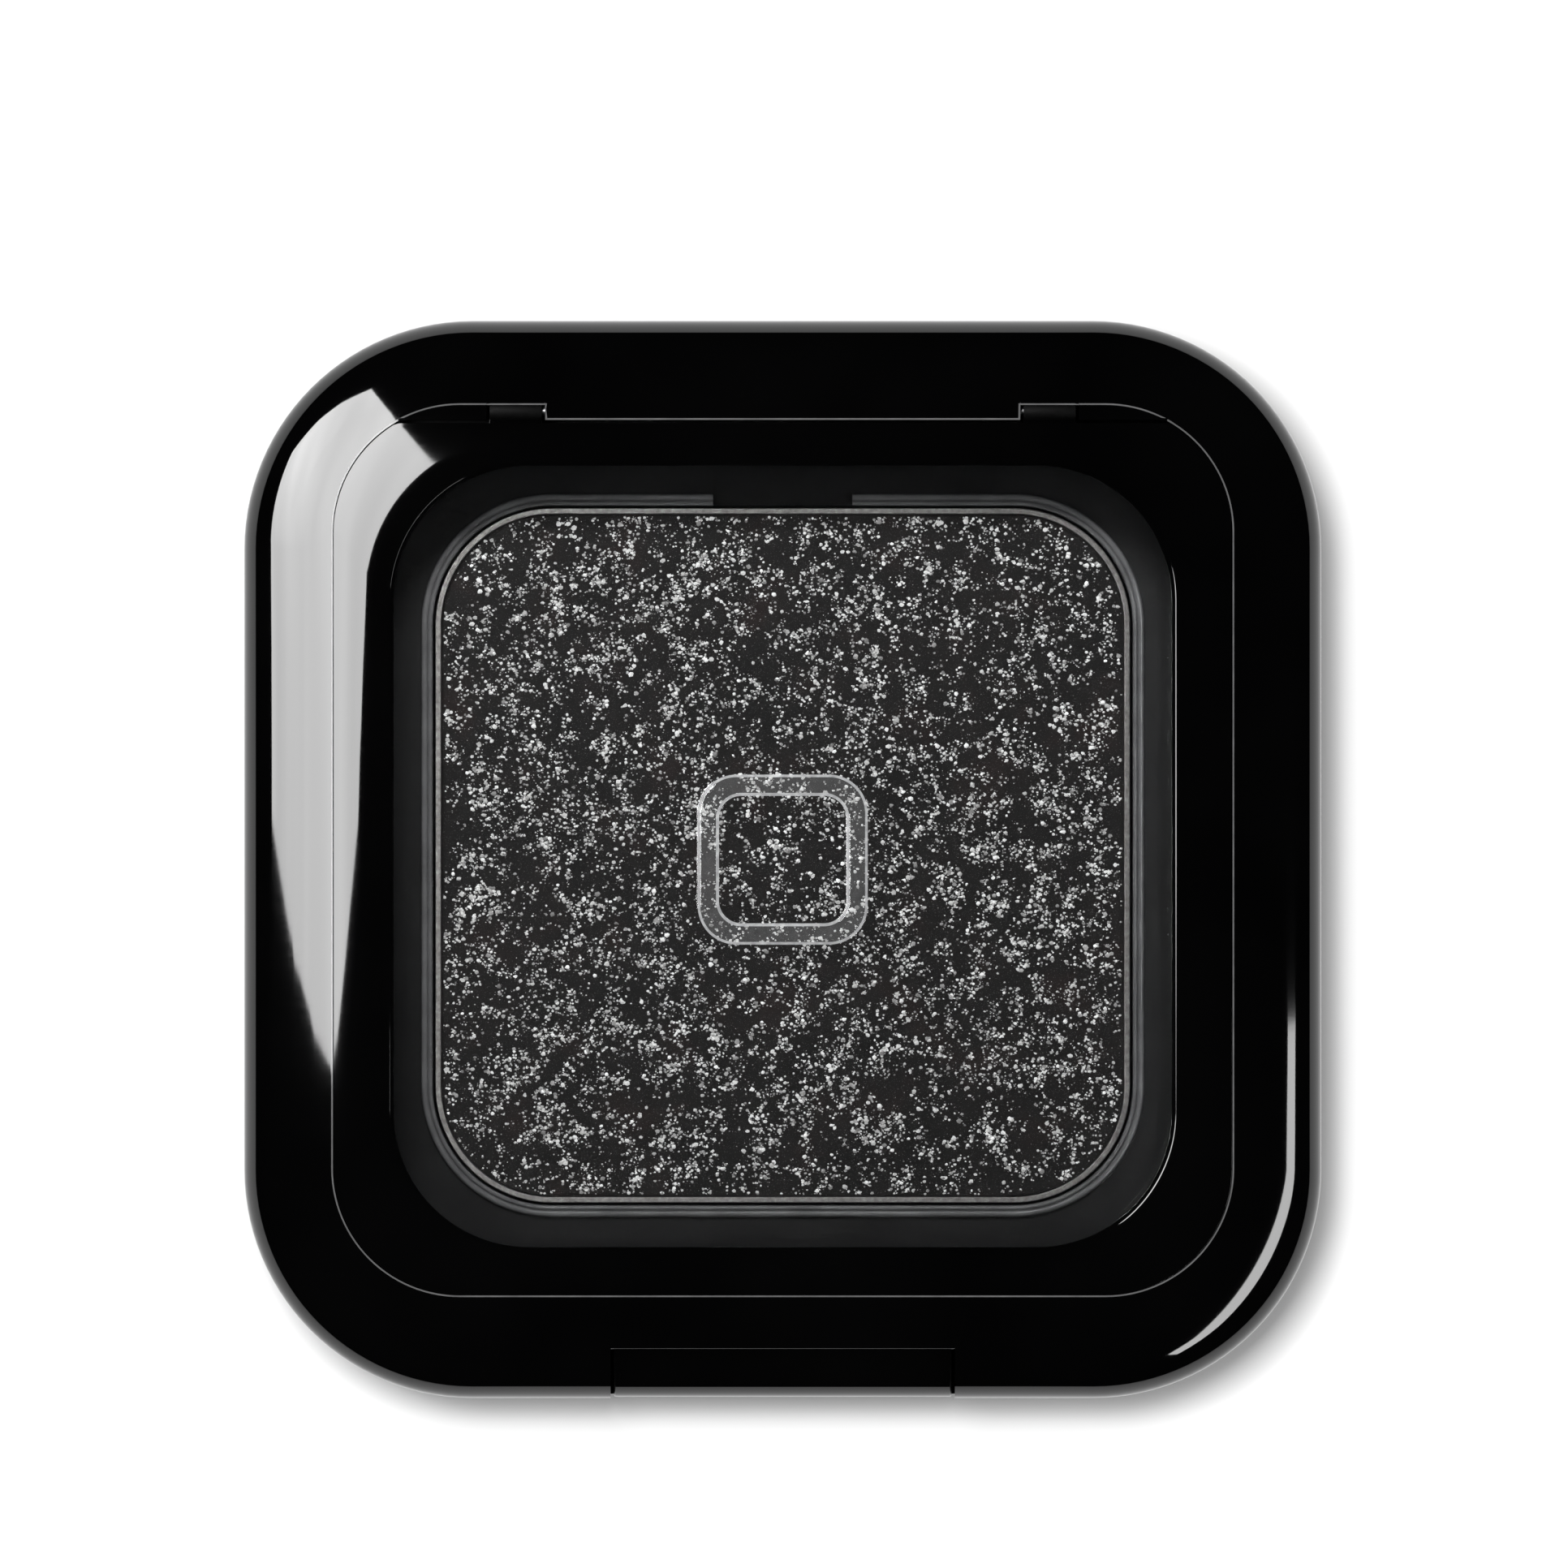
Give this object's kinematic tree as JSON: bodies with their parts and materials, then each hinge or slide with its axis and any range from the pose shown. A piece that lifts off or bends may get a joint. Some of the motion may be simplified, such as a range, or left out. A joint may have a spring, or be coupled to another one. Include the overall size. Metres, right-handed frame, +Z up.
{
  "type": "eyeshadow compact",
  "caption": "Square black eyeshadow compact with one pan of glitter powder, a flush hinged lid with a clear window and a front push release.",
  "frame": {"origin": "middle of the underside, on the surface that the compact rests on", "axes": "+Z up out of the lid, +Y towards the hinge, -Y towards the thumb piece, +X to the right"},
  "size_m": [0.042, 0.042, 0.0125],
  "materials": {
    "gloss_black": "high gloss moulded black",
    "satin_black": "fine satin moulded black",
    "pan_metal": "drawn, satin",
    "glitter_powder": "pressed charcoal powder with silver flakes",
    "adhesive": "matt foam pad",
    "clear_plastic": "clear polished",
    "pin_steel": "drawn wire and strip",
    "label_film": "blank satin film"
  },
  "bodies": {
    "case": {"outer_frame": "gloss_black", "bottom_cover": "satin_black", "inner_tray": "satin_black", "powder_pan": "pan_metal", "powder_cake": "glitter_powder", "adhesive_pad": "adhesive", "hinge_pin_right": "pin_steel", "hinge_pin_left": "pin_steel", "button_spring": "pin_steel", "bottom_label": "label_film"},
    "lid": {"lid_frame": "gloss_black", "lid_window": "clear_plastic"},
    "button": {"release_button": "gloss_black"}
  },
  "joints": [
    {"name": "lid_hinge", "type": "hinge", "parent": "case", "child": "lid", "pos_m": [0, 0.01746, 0.012], "axis": [-1, 0, 0], "range_deg": [0, 105]},
    {"name": "button_press", "type": "slide", "parent": "case", "child": "button", "axis": [0, 1, 0], "range_m": [0, 0.0007], "stiffness_N_per_m": 1500, "springref_m": -0.0005, "deforming": ["button_spring"]}
  ]
}
